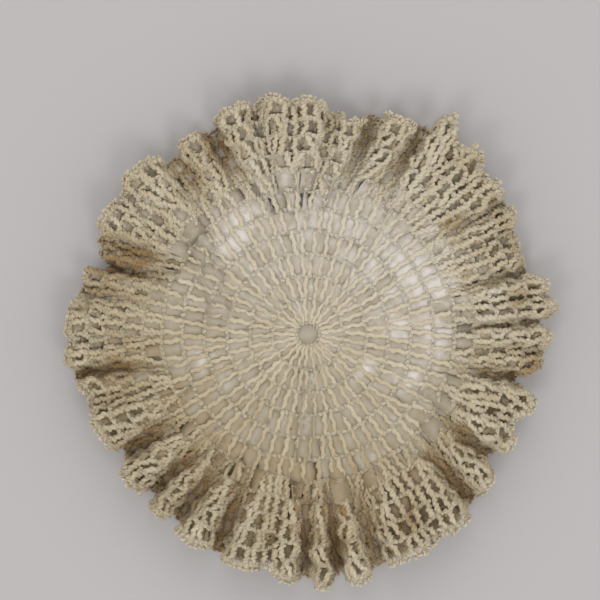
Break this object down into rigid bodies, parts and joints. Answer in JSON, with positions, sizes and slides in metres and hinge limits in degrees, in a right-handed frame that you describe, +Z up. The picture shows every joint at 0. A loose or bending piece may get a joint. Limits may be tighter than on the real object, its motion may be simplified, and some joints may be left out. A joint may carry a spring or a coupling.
{
  "type": "ruffled lace doily",
  "caption": "Round crocheted lace doily with a flat open-mesh centre and a deep ruffled border that stands up in uneven folds.",
  "frame": {"origin": "middle of the doily's box, on the table that it lies on", "axes": "+Z up out of the flat centre, +X and +Y along the table, as they lie to the right and up in a view from straight above"},
  "size_m": [0.268, 0.268, 0.0398],
  "materials": {
    "crochet_cotton": "matt ecru crochet cotton with a slight brown tinge in the folds"
  },
  "bodies": {
    "root": {"doily": "crochet_cotton"}
  },
  "joints": []
}
